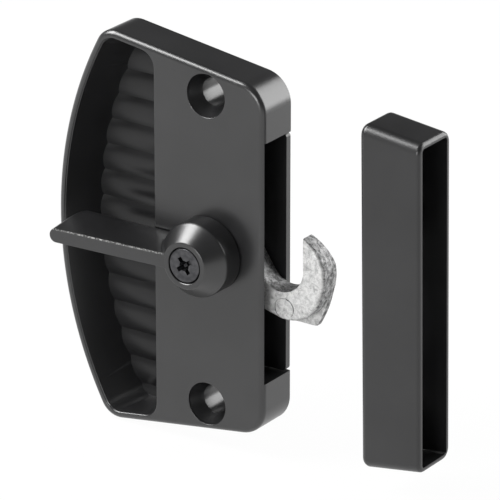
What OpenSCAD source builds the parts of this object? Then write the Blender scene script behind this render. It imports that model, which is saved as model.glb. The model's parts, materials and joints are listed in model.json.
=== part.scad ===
// Sliding door latch: a finger pull, a thumb lever that swings a cast hook, and a box keeper.
// Seen from the room, +X points right to the keeper, +Z points up and -Y points to the viewer.
// The origin lies on the door face, midway between the two mounting screws.

/* [Housing] */
// Depth of the housing in front of the door face
housing_depth = 11.2; // [10.8:0.1:14]
// Distance from the screw line to the flat side where the hook comes out
side_x = 15.9; // [15:0.1:18]
// Slant of the top and bottom ends, in degrees
end_slant = 8.4; // [4:0.1:12]
// Radius of the bowed edge
bow_r = 96; // [80:1:120]
// Distance from the screw line to the crown of the bow
bow_x = 42.4; // [38:0.1:46]
// Radius of the two corners beside the flat side
side_corner_r = 7.2; // [4:0.1:8]
// Radius of the two corners beside the bow
bow_corner_r = 5.5; // [3.5:0.1:8]
// Rounding of the front outer edge
edge_r = 1.6; // [0.8:0.1:1.8]
// Thickness of the outer walls round the cored pockets
outer_wall = 2; // [1.6:0.1:2.6]
// Thickness of the front wall over the mechanism
face_wall = 1.8; // [1.6:0.1:2.2]
// Thickness that is left of the front wall along the side slot
slot_lip = 0.7; // [0.6:0.1:1.2]

/* [Mounting screws] */
// Distance between the two mounting screws
hole_spacing = 76.2; // [70:0.1:84]
// Height of the flat side beyond a mounting screw, before its corner is rounded
hole_margin = 4.3; // [3.5:0.1:8]
// Bore for the shank of a mounting screw
hole_d = 6.8; // [5:0.1:7]
// Bore for its head
head_bore_d = 10.4; // [8.5:0.1:10.8]
// Straight depth of the head bore
head_bore_depth = 0.8; // [0.5:0.1:2]
// Depth of the cone that the head seats in
head_seat_depth = 2.7; // [1.5:0.1:3]
// Thickness of the boss wall round a mounting screw's bore
head_boss_wall = 1.5; // [1.2:0.1:2.5]

/* [Finger pull] */
// Distance from the screw line to the straight edge of the pull
pull_x = 14.6; // [14:0.1:18]
// Width of the rim left round the pull
pull_rim = 1.8; // [1.4:0.1:2.6]
// Thickness of the floor under the grooves
pull_floor = 1.5; // [1.2:0.1:2.5]
// Radius of the pull's corners
pull_corner_r = 4; // [2.5:0.1:4.5]
// How far the bowed wall leans in from the rim to the floor
pull_lean = 4.2; // [1:0.1:6]
// How far the other walls lean in
pull_draft = 1.2; // [0.3:0.1:2]
// Distance from one ridge of the grip to the next
ridge_pitch = 6.55; // [5:0.05:8]
// Height of the ridges
ridge_h = 0.8; // [0.4:0.1:1.2]

/* [Mechanism space] */
// Half the height of the space that the hook swings in
space_half_h = 29.6; // [28:0.1:30.5]
// Wall between the pull and that space
space_wall = 1.8; // [1.4:0.1:2.4]
// Thickness of the back plate
plate_t = 1.6; // [1.4:0.1:2.4]
// Gap all round the back plate
plate_gap = 0.25; // [0.15:0.05:0.4]
// Distance of the back plate's screws from the pivot height
plate_screw_z = 16; // [15.5:0.1:17]
// Diameter of the back plate's screws
plate_screw_d = 2; // [1.6:0.1:2]
// Length of the back plate's screws
plate_screw_len = 7; // [5:0.1:8]
// Thickness of the boss wall round a back plate screw
plate_boss_wall = 0.9; // [0.8:0.1:1]

/* [Lever] */
// Distance from the screw line to the pivot of lever and hook
pivot_x = 0.7; // [0:0.1:1.5]
// Diameter of the lever's hub
hub_d = 18; // [16:0.1:19]
// Height of the hub's straight part
hub_straight_h = 5.9; // [4:0.1:7]
// Height of the whole hub
hub_h = 9.8; // [9:0.1:12]
// Diameter of the flat ring round the screw head
hub_ring_d = 11.3; // [10.4:0.1:12.5]
// Distance from the pivot to the tip of the lever
lever_len = 37; // [30:0.1:42]
// Height of the lever's tip above the housing
lever_tip_h = 11.7; // [10:0.1:14]
// Thickness of the lever along its front edge
lever_front_t = 3.5; // [3:0.1:4.5]
// Thickness of the lever beside the housing
lever_back_t = 6.2; // [5:0.1:7]
// Diameter of the journal that turns in the front wall
journal_d = 9; // [8:0.1:10]
// Width of the square that drives the hook
drive_w = 6; // [5.4:0.1:6.6]

/* [Lever screw] */
// Diameter of the screw head
screw_head_d = 8.2; // [7.6:0.1:8.6]
// Diameter of the screw thread
screw_d = 4; // [3.5:0.1:4.4]
// Length of each arm of the cross recess, tip to tip
cross_len = 4.5; // [3.5:0.1:4.8]
// Width of the arms of the cross recess
cross_w = 1.05; // [0.8:0.05:1.2]
// Turn of the cross, in degrees
cross_turn = 36; // [0:1:90]

/* [Hook] */
// Thickness of the hook
hook_t = 5.5; // [4.5:0.1:5.7]
// Radius of the hook's hub
hook_hub_r = 9; // [8.5:0.1:9.5]
// Radius of the round throat that catches the keeper
throat_r = 6.1; // [5.5:0.1:6.5]
// Radius of the round underside
belly_r = 10.1; // [9.6:0.1:10.8]
// Height of the hook's tip above the middle of the throat
tip_rise = 8.2; // [6:0.1:9]
// Slant of the outer edge below the tip, in degrees
tip_slant = 46; // [40:1:55]
// How far the back of the hook leans forward at the tip, which makes the tip thinner
tip_thin = 2; // [0.5:0.1:2.4]
// Thickness of the heel flange behind the underside
flange_t = 1.8; // [1.2:0.1:2.4]
// Drop of that flange below the pivot
flange_drop = 14.9; // [14.2:0.1:16]
// Distance from the pivot to the inner end of that flange
flange_x = 16.5; // [15.5:0.1:19]

/* [Detent spring] */
// Thickness of the leaf
leaf_t = 0.4; // [0.3:0.05:0.6]
// Radius that the leaf is bent to
leaf_r = 15.6; // [14:0.1:20]
// Half the length of the leaf
leaf_half = 8; // [7:0.1:9]

/* [Keeper] */
// Distance from the screw line to the closed side of the keeper
keeper_x = 43.2; // [40:0.1:60]
// Width of the keeper, from its closed side to its open side
keeper_w = 15.9; // [12:0.1:20]
// Depth of the keeper
keeper_d = 13; // [11.5:0.1:16]
// Height of the keeper along its closed side
keeper_h = 83; // [74:0.1:90]
// Height of the keeper's middle above the middle of the latch
keeper_z = -0.85; // [-4:0.05:4]
// Thickness of the keeper's walls
keeper_wall = 1.4; // [1.2:0.1:2]
// Lean of the keeper's top towards the latch, in degrees
keeper_lean = 1; // [0:0.1:2]
// Slant of the keeper's two ends, in degrees
keeper_slant = 7; // [0:0.1:8]
// Rounding of the keeper's outer edges
keeper_edge_r = 1.7; // [0.8:0.1:2]
// Height of the slot that the hook enters
keeper_slot_h = 30; // [26:0.5:36]
// Width of that slot
keeper_slot_w = 7.4; // [6.6:0.1:7.6]
// Distance between the keeper's two screws
keeper_hole_spacing = 63.5; // [56:0.1:66]
// Bore for a keeper screw
keeper_hole_d = 4.4; // [3.5:0.1:5]

/* [Clearances] */
// Running fit of a round shaft in its bore, on the radius
running_gap = 0.05; // [0.02:0.01:0.09]
// Gap between faces that slide past each other
face_gap = 0.15; // [0.1:0.01:0.25]
// Gap of a loose or square fit
loose_gap = 0.1; // [0.05:0.01:0.2]
// Gap behind the hook and at the ends of its swing
swing_gap = 0.4; // [0.3:0.05:0.7]

/* [Hidden] */
$fn = 64;

// Overlap of joined solids, and how far a cut runs past the face it opens
skin = 0.02;
past = 1;
side_half_h = hole_spacing / 2 + hole_margin;

// Planes along the depth, as the height of each above the housing's front face
front_in = -face_wall;
door = -housing_depth;
plate_front = door + plate_t;
hook_back = plate_front + swing_gap;
hook_front = hook_back + hook_t;

// Edges of the mechanism space, and the round bosses and flat ledges that hold the back plate
space_x = -(pull_x - space_wall);
plate_edge = 0.2;
plate_corner_r = 1;
plate_screw_x = space_x + plate_gap + plate_screw_d + plate_edge;
boss_r = plate_screw_d / 2 + plate_boss_wall;
screw_drop = 0.05;
pilot_extra = 0.5;
slot_w = 0.5;
slot_depth = 0.7;
ledge_x = [side_x - 10, side_x - 6];
ledge_depth = 1;
lip_reach = 3;
pocket_roof = face_wall + 0.4;

// Hook outline, measured from the pivot
hook_r = space_half_h - swing_gap;
belly_dir = -11;
belly_c = (hook_r - belly_r - 0.15) * [cos(belly_dir), sin(belly_dir)];
throat_c = belly_c + [-1.25, 3];
throat_side = 124;
tip = throat_c + [throat_r + 0.1, tip_rise];
tip_facet = [-0.25, -1.1];
thin_z = 1;
nose_drop = 5.2;
flange_top = 2;
flange_corner_r = 1;
parting_step = 0.1;
pilot_r = screw_d / 2 + running_gap;
drive_h = 3.6;
heel_r = 4;
heel_h = 0.8;
heel_floor = 0.2;
swing = 75;
notch_r = 1.5;
notch_depth = 0.4;

// Lever: its underside, the share of its height where it widens, and its squarer rear end
blade_gap = 0.35;
blade_waist = 0.43;
blade_rear_rise = 1.1;
blade_corner_r = 1.4;
blade_rear_cut = [0.7, 1.8];
head_cyl_h = 0.45;
head_sink = 0.05;
head_gap = 0.3;
cross_depth = 1.9;
cone_depth = 2.4;
cone_r = [0.5, 1.3];

// Detent leaf, above the hook's hub
leaf_c = hook_hub_r + running_gap + leaf_r;
leaf_end = leaf_c - sqrt(pow(leaf_r - leaf_t, 2) - pow(leaf_half, 2));
leaf_side_gap = 0.3;
seat_t = 1.8;
seat_lug = 1.3;
seat_hook = 1.2;
seat_back = 1;
washer_rim = 3;

// Keeper planes
keeper_slope = tan(keeper_slant);
keeper_slot_z = -4.2;

function arc(c, r, a0, a1, n) =
    [for (i = [0:n], a = a0 + (a1 - a0) * i / n) c + r * [cos(a), sin(a)]];
function mirrored(p) = [for (i = [len(p) - 1:-1:0]) [p[i][0], -p[i][1]]];
function arm_line(p, dir, len) = p + len * [cos(dir), sin(dir)];

// Half an outline with a flat right side at x, a slanted top and a bowed left side.
// top is the height of the slanted top at x, and inset shrinks every edge by the same amount.
function half_outline(x, top, bow, r_side, r_bow, inset) =
    let (s = tan(end_slant), q = 1 / cos(end_slant), bow_c = bow_r - bow_x)
    let (c1 = [x - r_side, top + s * r_side - r_side * q])
    let (a = top + s * x - r_bow * q, k = bow_c + a * s)
    let (cx = (k - sqrt(k * k - (1 + s * s) * (bow_c * bow_c + a * a - pow(bow - r_bow, 2)))) / (1 + s * s))
    let (c2 = [cx, a - s * cx], turn = atan2(c2[1], cx - bow_c))
    concat(arc(c1, r_side - inset, 0, 90 - end_slant, 8),
           arc(c2, r_bow - inset, 90 - end_slant, turn, 8),
           arc([bow_c, 0], bow - inset, turn + (180 - turn) / 12, 180, 11));
function whole_outline(half) = concat(half, [for (p = mirrored(half)) if (p[1] < -skin) p]);

// Puts a solid drawn over the front view on the latch, with its own z as height above the front face
module on_face(x = 0, z = 0) {
    translate([x, -housing_depth, z]) rotate([90, 0, 0]) children();
}

module slab(low, high) {
    translate([0, 0, low]) linear_extrude(high - low) children();
}

function body_ring(inset) =
    whole_outline(half_outline(side_x, side_half_h, bow_r, side_corner_r, bow_corner_r, inset));

function pull_ring(depth) =
    let (lean = pull_lean * depth, draft = pull_draft * depth)
    let (top = side_half_h + tan(end_slant) * (side_x + pull_x) - pull_rim / cos(end_slant))
    whole_outline(half_outline(-pull_x - draft, top - draft, bow_r - pull_rim - lean,
                               pull_corner_r, pull_corner_r, 0));

// Solid through rings of equally many points, one ring to each height
module loft(heights, rings) {
    n = len(rings[0]);
    last = len(rings) - 1;
    polyhedron(
        [for (k = [0:last], p = rings[k]) [p[0], p[1], heights[k]]],
        concat([[for (i = [0:n - 1]) i]], [[for (i = [n - 1:-1:0]) last * n + i]],
               [for (k = [0:last - 1], i = [0:n - 1])
                   let (j = (i + 1) % n, a = k * n + i, b = k * n + j, c = b + n, d = a + n)
                   each [[a, d, c], [a, c, b]]]));
}

// The moulded block with its front edge rounded
module rounded_block() {
    turns = [0:18:90];
    loft(concat([door], [for (a = turns) edge_r * (sin(a) - 1)]),
         concat([body_ring(0)], [for (a = turns) body_ring(edge_r * (1 - cos(a)))]));
}

// The pull: leaning walls down to a floor of rounded ridges that run across it
module pull_cutter() {
    floor_h = door + pull_floor;
    ridge_r = (pow(ridge_pitch / 2, 2) + ridge_h * ridge_h) / (2 * ridge_h);
    half_angle = asin(ridge_pitch / 2 / ridge_r);
    count = ceil((side_half_h + tan(end_slant) * (side_x + bow_x)) / ridge_pitch);
    ridge_c = floor_h + ridge_h - ridge_r;
    grip = [for (i = [-count:count])
        for (p = arc([i * ridge_pitch, ridge_c], ridge_r, 90 + half_angle, 90 - half_angle, 6)) p];
    end_z = (count + 1) * ridge_pitch;
    intersection() {
        loft([floor_h, past], [pull_ring(1), pull_ring(past / floor_h)]);
        translate([-bow_x - past, 0, 0]) rotate([90, 0, 90])
            linear_extrude(bow_x) polygon(concat(grip, [[end_z, 2 * past], [-end_z, 2 * past]]));
    }
}

module mounting_bore() {
    translate([0, 0, door - past]) cylinder(h = housing_depth + 2 * past, d = hole_d);
    translate([0, 0, -head_bore_depth]) cylinder(h = head_bore_depth + past, d = head_bore_d);
    translate([0, 0, -head_bore_depth - head_seat_depth])
        cylinder(h = head_seat_depth + skin, d1 = hole_d, d2 = head_bore_d);
}

// Space behind the ends, cored out from the back round the screw boss
module cored_pocket() {
    inner_z = space_half_h + outer_wall;
    difference() {
        slab(door - past, -pocket_roof) intersection() {
            polygon(body_ring(outer_wall));
            translate([space_x, inner_z]) square([side_x - space_x, side_half_h]);
        }
        translate([0, hole_spacing / 2, door - past])
            cylinder(h = housing_depth + 2 * past, r = head_bore_d / 2 + head_boss_wall);
    }
}

module ledges(gap) {
    for (s = [-1, 1])
        translate([ledge_x[0] - gap, s > 0 ? space_half_h - past : -space_half_h - ledge_depth - gap])
            square([ledge_x[1] - ledge_x[0] + 2 * gap, past + ledge_depth + gap]);
}

module plate_outline() {
    r = plate_corner_r;
    low = [space_x + plate_gap, -space_half_h + plate_gap];
    high = [side_x - plate_edge, space_half_h - plate_gap];
    translate(low + [r, 0]) square([high[0] - low[0] - 2 * r, high[1] - low[1]]);
    translate(low + [0, r]) square([high[0] - low[0], high[1] - low[1] - 2 * r]);
    for (x = [low[0] + r, high[0] - r], z = [low[1] + r, high[1] - r]) translate([x, z]) circle(r = r);
}

module spring_seat() {
    low = leaf_end + running_gap;
    half = leaf_half + loose_gap;
    slab(plate_front + seat_back, front_in + skin) {
        translate([-half - seat_lug, low]) square([2 * (half + seat_lug), seat_t]);
        for (x = [-half - seat_lug, half])
            translate([x, low - seat_hook]) square([seat_lug, seat_hook + skin]);
    }
}

module housing() color("#3c3c3e") {
    on_face() {
        difference() {
            rounded_block();
            pull_cutter();
            for (s = [-1, 1]) translate([0, s * hole_spacing / 2, 0]) mounting_bore();
            cored_pocket();
            mirror([0, 1, 0]) cored_pocket();
            slab(door - past, front_in) translate([space_x, -space_half_h])
                square([side_x - space_x + past, 2 * space_half_h]);
            slab(hook_back, -slot_lip) translate([side_x - lip_reach, -space_half_h])
                square([lip_reach + past, 2 * space_half_h]);
            slab(door - past, plate_front) ledges(plate_gap);
            translate([pivot_x, 0, door])
                cylinder(h = housing_depth + past, r = journal_d / 2 + running_gap);
        }
        for (s = [-1, 1]) translate([plate_screw_x, s * plate_screw_z, plate_front]) difference() {
            union() {
                cylinder(h = front_in - plate_front + skin, r = boss_r);
                translate([space_x - plate_screw_x - skin, -boss_r, 0])
                    cube([plate_screw_x - space_x + skin, 2 * boss_r, front_in - plate_front + skin]);
            }
            translate([0, 0, -past])
                cylinder(h = plate_screw_len - plate_t + pilot_extra + past,
                         r = plate_screw_d / 2 + running_gap);
        }
        translate([pivot_x, 0, 0]) spring_seat();
    }
}

module back_plate() color("#2e2e30") {
    on_face() difference() {
        slab(door, plate_front) {
            plate_outline();
            intersection() {
                ledges(0);
                translate([ledge_x[0], -space_half_h - ledge_depth])
                    square([ledge_x[1] - ledge_x[0], 2 * (space_half_h + ledge_depth)]);
            }
        }
        translate([pivot_x, 0, plate_front - heel_h - heel_floor])
            cylinder(h = heel_h + heel_floor + past, r = heel_r + running_gap);
        for (s = [-1, 1]) translate([plate_screw_x, s * plate_screw_z, door]) {
            translate([0, 0, -past]) plate_screw_form(loose_gap, plate_t + 2 * past, past);
        }
    }
}

// Countersunk screw with its head at the bottom, or the hole for it with a gap all round
module plate_screw_form(gap, len, head_past = 0) {
    shank = plate_screw_d / 2;
    cylinder(h = len, r = shank + gap);
    cylinder(h = head_past + skin, r = plate_screw_d + gap);
    translate([0, 0, head_past]) cylinder(h = shank, r1 = plate_screw_d + gap, r2 = shank + gap);
}

module back_plate_screws() color("#8d8f92") {
    for (s = [-1, 1]) on_face(plate_screw_x, s * plate_screw_z) difference() {
        translate([0, 0, door + screw_drop]) plate_screw_form(0, plate_screw_len);
        for (a = [0, 90]) rotate(a) translate([-plate_screw_d / 2, -slot_w / 2, door - past])
            cube([plate_screw_d, slot_w, past + slot_depth]);
    }
}

// Half section of the lever's hub, from its axis outwards
function hub_section() =
    let (r = hub_d / 2, ring = hub_ring_d / 2)
    [[0, face_gap], [r - 0.3, face_gap], [r, face_gap + 0.3], [r, hub_straight_h - 0.7],
     [r - 0.1, hub_straight_h - 0.2], [r - 0.45, hub_straight_h + 0.3],
     [ring + 0.35, hub_h - 0.35], [ring + 0.1, hub_h - 0.1], [ring - 0.25, hub_h], [0, hub_h]];

// Thin slice of the blade at one height, with a rounded outer end
module blade_slice(h, half, reach, corner_r) {
    translate([0, 0, h - skin]) cylinder(h = skin, r = half, $fn = 32);
    for (s = [-1, 1]) translate([corner_r - reach, s * (half - corner_r), h - skin])
        cylinder(h = skin, r = corner_r, $fn = 32);
}

// Tapering blade: a slim rounded front edge that rises to the tip, and a wider, squarer rear edge
module blade() {
    front = lever_front_t / 2;
    back = lever_back_t / 2;
    waist = lever_tip_h * blade_waist;
    waist_half = front + (back - front) * (1 - blade_waist);
    rise = lever_tip_h - hub_h + face_gap;
    hull() {
        translate([0, 0, lever_tip_h - rise - skin]) cylinder(h = skin, r = front, $fn = 32);
        translate([front - lever_len, 0, lever_tip_h - skin]) cylinder(h = skin, r = front, $fn = 32);
        blade_slice(waist, waist_half, lever_len, blade_corner_r);
        blade_slice(blade_gap + blade_rear_rise, back, lever_len - blade_rear_cut[0], blade_corner_r);
        blade_slice(blade_gap + skin, back, lever_len - blade_rear_cut[1], blade_corner_r);
    }
}

module screw_head_form(gap) {
    r = screw_head_d / 2 + gap;
    neck = screw_d / 2 + gap;
    cone_top = hub_h - head_sink - head_cyl_h;
    translate([0, 0, cone_top - (r - neck)]) cylinder(h = r - neck, r1 = neck, r2 = r);
    translate([0, 0, cone_top - skin]) cylinder(h = head_cyl_h + skin + past * ceil(gap), r = r);
}

module thumb_lever() color("#38383a") {
    on_face(pivot_x, 0) difference() {
        union() {
            rotate_extrude() polygon(hub_section());
            blade();
            translate([0, 0, hook_front + face_gap])
                cylinder(h = 2 * face_gap - hook_front, r = journal_d / 2);
            translate([-drive_w / 2, -drive_w / 2, hook_front - drive_h + loose_gap])
                cube([drive_w, drive_w, drive_h + face_gap]);
        }
        translate([0, 0, door]) cylinder(h = housing_depth + hub_h, r = screw_d / 2 + loose_gap);
        screw_head_form(head_gap);
    }
}

module lever_screw() color("#4a4a4c") {
    on_face(pivot_x, 0) difference() {
        union() {
            screw_head_form(0);
            translate([0, 0, plate_front - heel_h + 0.1])
                cylinder(h = hub_h - 1 - plate_front + heel_h, d = screw_d);
        }
        rotate(cross_turn) for (a = [0, 90]) rotate(a)
            translate([-cross_len / 2, -cross_w / 2, hub_h - cross_depth])
                cube([cross_len, cross_w, cross_depth + past]);
        translate([0, 0, hub_h - cone_depth]) cylinder(h = cone_depth, r1 = cone_r[0], r2 = cone_r[1]);
    }
}

// The hook in front view: hub, tapering arm, round belly and pointed tip, less the throat
module hook_outline() {
    inner = throat_c + [throat_r, 0];
    arm_low = asin((belly_r - hook_hub_r) / norm(belly_c)) + belly_dir - 90;
    side_foot = arm_line(throat_c, throat_side + 90, throat_r);
    difference() {
        intersection() {
            union() {
                circle(r = hook_hub_r);
                translate(belly_c) circle(r = belly_r);
                polygon([arm_line([0, 0], arm_low, hook_hub_r), arm_line(belly_c, arm_low, belly_r),
                         belly_c, throat_c, arm_line(side_foot, throat_side, throat_r), [0, 0]]);
                polygon([belly_c, throat_c, inner, tip + tip_facet, tip,
                         arm_line(tip, -tip_slant, belly_r), [hook_r, -nose_drop]]);
            }
            circle(r = hook_r, $fn = 128);
        }
        translate(throat_c) circle(r = throat_r);
        polygon([side_foot, arm_line(side_foot, throat_side, 2 * throat_r), throat_c + [0, 3 * throat_r],
                 [tip[0], 3 * throat_r], tip, tip + tip_facet, inner, throat_c]);
    }
}

// Flange behind the underside: round along the swing circle, straight below, with a soft inner corner,
// and open behind the throat
module heel_flange() {
    r = flange_corner_r;
    difference() {
        intersection() {
            circle(r = hook_r - parting_step, $fn = 128);
            union() {
                translate([flange_x + r, -flange_drop]) square([hook_r, flange_drop - flange_top]);
                translate([flange_x, r - flange_drop]) square([hook_r, flange_drop - flange_top - r]);
                translate([flange_x + r, r - flange_drop]) circle(r = r);
            }
        }
        translate(throat_c) circle(r = throat_r + parting_step);
    }
}

module hook() color("#b9bbbd") {
    lean = atan2(tip_thin, tip[1] - thin_z);
    on_face(pivot_x, 0) difference() {
        union() {
            slab(hook_back, hook_front) hook_outline();
            slab(hook_back, hook_back + flange_t) heel_flange();
            translate([0, 0, hook_back - swing_gap - heel_h])
                cylinder(h = heel_h + swing_gap + skin, r = heel_r);
        }
        translate([-drive_w / 2 - loose_gap, -drive_w / 2 - loose_gap, hook_front - drive_h])
            cube([drive_w + 2 * loose_gap, drive_w + 2 * loose_gap, drive_h + past]);
        translate([0, 0, door]) cylinder(h = housing_depth, r = pilot_r);
        translate([throat_c[0], thin_z, hook_back]) rotate([lean, 0, 0])
            translate([0, 0, -hook_t]) cube([hook_r, 2 * tip_rise, hook_t]);
        for (a = [90, 90 + swing]) rotate(a)
            translate([hook_hub_r + notch_r - notch_depth, 0, hook_back - past])
                cylinder(h = hook_t + 2 * past, r = notch_r);
    }
}

module hook_washer() color("#d8d4c8") {
    on_face(pivot_x, 0) translate([0, 0, hook_front + face_gap]) difference() {
        cylinder(h = front_in - hook_front - 2 * face_gap, r = journal_d / 2 + washer_rim);
        translate([0, 0, -past])
            cylinder(h = front_in - hook_front + 2 * past, r = journal_d / 2 + loose_gap);
    }
}

module detent_spring() color("#9a9da0") {
    on_face(pivot_x, 0) slab(plate_front + leaf_side_gap, front_in - leaf_side_gap) intersection() {
        translate([0, leaf_c]) difference() {
            circle(r = leaf_r, $fn = 128);
            circle(r = leaf_r - leaf_t, $fn = 128);
        }
        translate([-leaf_half, 0]) square([2 * leaf_half, leaf_c]);
    }
}

// Closed box with rounded edges, open on the side that lies against the jamb, drawn from the middle
// of its closed side
module keeper_shell() {
    r = keeper_edge_r;
    fall = keeper_slope * keeper_w;
    hull() {
        for (y = [-keeper_d + r, -r], s = [-1, 1]) {
            translate([r, y, s * (keeper_h / 2 - r)]) sphere(r = r, $fn = 24);
            translate([keeper_w - skin, y, s * (keeper_h / 2 - fall - r)])
                rotate([0, 90, 0]) cylinder(h = skin, r = r, $fn = 24);
        }
    }
}

module keeper() color("#38383a") {
    inside_h = keeper_h / 2 - keeper_wall;
    fall = keeper_slope * (keeper_w + past - keeper_wall);
    open_x = keeper_w + past;
    translate([keeper_x, 0, keeper_z]) rotate([0, -keeper_lean, 0]) difference() {
        keeper_shell();
        translate([0, -keeper_wall, 0]) rotate([90, 0, 0])
            linear_extrude(keeper_d - 2 * keeper_wall)
                polygon([[keeper_wall, -inside_h], [open_x, fall - inside_h], [open_x, inside_h - fall],
                         [keeper_wall, inside_h]]);
        translate([-past, -keeper_wall - keeper_slot_w, keeper_slot_z - keeper_slot_h / 2])
            cube([keeper_wall + 2 * past, keeper_slot_w, keeper_slot_h]);
        for (s = [-1, 1]) translate([-past, -keeper_d / 2, s * keeper_hole_spacing / 2])
            rotate([0, 90, 0]) cylinder(h = keeper_wall + 2 * past, d = keeper_hole_d);
    }
}

housing();
back_plate();
back_plate_screws();
thumb_lever();
lever_screw();
hook();
hook_washer();
detent_spring();
keeper();
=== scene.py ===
import json
import math

import bmesh
import bpy
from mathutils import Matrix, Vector


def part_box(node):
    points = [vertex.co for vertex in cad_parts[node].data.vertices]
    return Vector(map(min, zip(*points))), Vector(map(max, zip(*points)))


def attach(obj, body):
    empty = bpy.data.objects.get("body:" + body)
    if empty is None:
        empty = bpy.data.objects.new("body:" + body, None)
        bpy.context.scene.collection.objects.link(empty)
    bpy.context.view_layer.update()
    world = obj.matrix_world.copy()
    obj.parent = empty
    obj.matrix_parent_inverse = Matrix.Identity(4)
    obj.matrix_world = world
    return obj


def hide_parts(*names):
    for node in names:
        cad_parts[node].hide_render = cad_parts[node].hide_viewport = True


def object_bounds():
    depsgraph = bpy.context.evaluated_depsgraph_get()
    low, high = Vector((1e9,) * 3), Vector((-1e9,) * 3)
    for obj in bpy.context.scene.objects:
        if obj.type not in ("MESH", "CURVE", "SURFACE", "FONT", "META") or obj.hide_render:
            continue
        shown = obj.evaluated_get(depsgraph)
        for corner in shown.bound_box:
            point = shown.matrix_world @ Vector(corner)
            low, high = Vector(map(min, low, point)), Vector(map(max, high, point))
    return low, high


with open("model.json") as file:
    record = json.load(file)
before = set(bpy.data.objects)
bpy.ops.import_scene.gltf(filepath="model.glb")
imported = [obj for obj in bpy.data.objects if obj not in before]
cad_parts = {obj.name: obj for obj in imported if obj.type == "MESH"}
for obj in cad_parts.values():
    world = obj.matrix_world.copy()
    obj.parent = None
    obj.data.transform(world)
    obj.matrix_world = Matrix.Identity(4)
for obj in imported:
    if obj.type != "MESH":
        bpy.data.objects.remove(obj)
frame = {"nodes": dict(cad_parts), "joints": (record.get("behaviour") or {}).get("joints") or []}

CAD_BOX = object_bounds()
MM = 0.001

# Sizes in millimetres. Some edges, corners and ridges are a little nearer to the photo than in the solids.

# Housing
HOUSING_LOW, HOUSING_HIGH = (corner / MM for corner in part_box("housing"))
DEPTH = -HOUSING_LOW.y
SIDE_X = HOUSING_HIGH.x
BOW_X = -HOUSING_LOW.x
SIDE_HALF_H = 42.4
END_SLANT = math.radians(8.4)
BOW_R = 96.0
SIDE_CORNER_R = 7.2
BOW_CORNER_R = 5.5
EDGE_R = 1.4
# Rounding of the back edge, and its inset half way round
BACK_EDGE = (0.25, 0.07)
OUTER_WALL = 2.0
FACE_WALL = 1.8
SLOT_LIP = 0.7
LIP_REACH = 3.0
MOUTH_R = 0.35
POCKET_ROOF = FACE_WALL + 0.4
SWING_GAP = 0.4
# How far a cutter reaches past what it cuts, and joined pieces into each other
PAST = 1.0
OVERLAP = 0.05

# Screw bores
HOLE_SPACING = 76.2
HOLE_R = 3.4
HEAD_BORE_R = 5.2
HEAD_BORE_DEPTH = 0.8
HEAD_SEAT_DEPTH = 2.7
HEAD_BOSS_WALL = 1.5
BORE_MOUTH_R = 0.2
# Outward and forward steps of the soft edge between a screw hole and its cone
BORE_STEPS = ((0, -0.25), (0.1, -0.05), (0.35, 0.15))

# Finger pull
PULL_X = 14.6
PULL_RIM = 1.8
PULL_FLOOR = 1.5
PULL_CORNER_R = 4.0
PULL_LEAN = 4.2
PULL_DRAFT = 1.2
PULL_CREASE_R = 0.3
PULL_CREASE_DEG = 62
RIDGE_PITCH = 6.55
RIDGE_H = 0.72
RIDGES_EACH_WAY = 9

# Mechanism space, back plate and spring seat
SPACE_HALF_H = 29.6
SPACE_X = 1.8 - PULL_X
PLATE_T = 1.6
PLATE_GAP = 0.25
LEDGE_X = (SIDE_X - 10, SIDE_X - 6)
LEDGE_DEPTH = 1.0
PLATE_SCREW_X = SPACE_X + 2.45
PLATE_SCREW_Z = 16.0
PLATE_BOSS_R = 1.9
PILOT_R = 1.05
PILOT_DEPTH = 5.9
SEAT_Z = (11.78, 13.58)
SEAT_HALF = 8.1
SEAT_LUG = 1.3
SEAT_HOOK = 1.2
SEAT_BACK = 1.0

# Hub and lever
PIVOT_X = frame["joints"][0]["pos_m"][0] / MM
HUB_R = 9.0
HUB_STRAIGHT_H = 5.9
HUB_H = 9.8
HUB_RING_R = 5.65
HUB_CORNER_R = 0.9
HUB_CORNER_DROP = 0.6
HUB_RING_EDGE_R = 0.4
HUB_FOOT_EDGE = 0.3
HUB_CONE_TURN = math.radians(40)
FACE_GAP = 0.15
LEVER_LEN = 37.0
LEVER_TIP_H = 11.7
LEVER_FRONT_T = 3.5
LEVER_BACK_T = 6.2
ROOT_R = 1.6
BLADE_SINK = 0.03
JOURNAL_R = 4.5
JOURNAL_BORE_R = 4.55
DRIVE_W = 6.0
DRIVE_H = 3.6
LOOSE_GAP = 0.1

# Lever screw
SCREW_HEAD_R = 4.1
SCREW_R = 2.0
HEAD_GAP = 0.3
HEAD_SINK = 0.05
HEAD_RIM_H = 0.45
HEAD_SEAT_EDGE = 0.12
CROSS_LEN = 4.5
CROSS_W = 1.05
CROSS_DEPTH = 1.9
CROSS_TURN = math.radians(36)
CONE_DEPTH = 2.4
SCREW_END_EDGE = 0.3
HEAD_TOP = HUB_H - HEAD_SINK
HEAD_LOW = HEAD_TOP - HEAD_RIM_H - (SCREW_HEAD_R - SCREW_R)
SCREW_END = PLATE_T - DEPTH - 0.7

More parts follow.
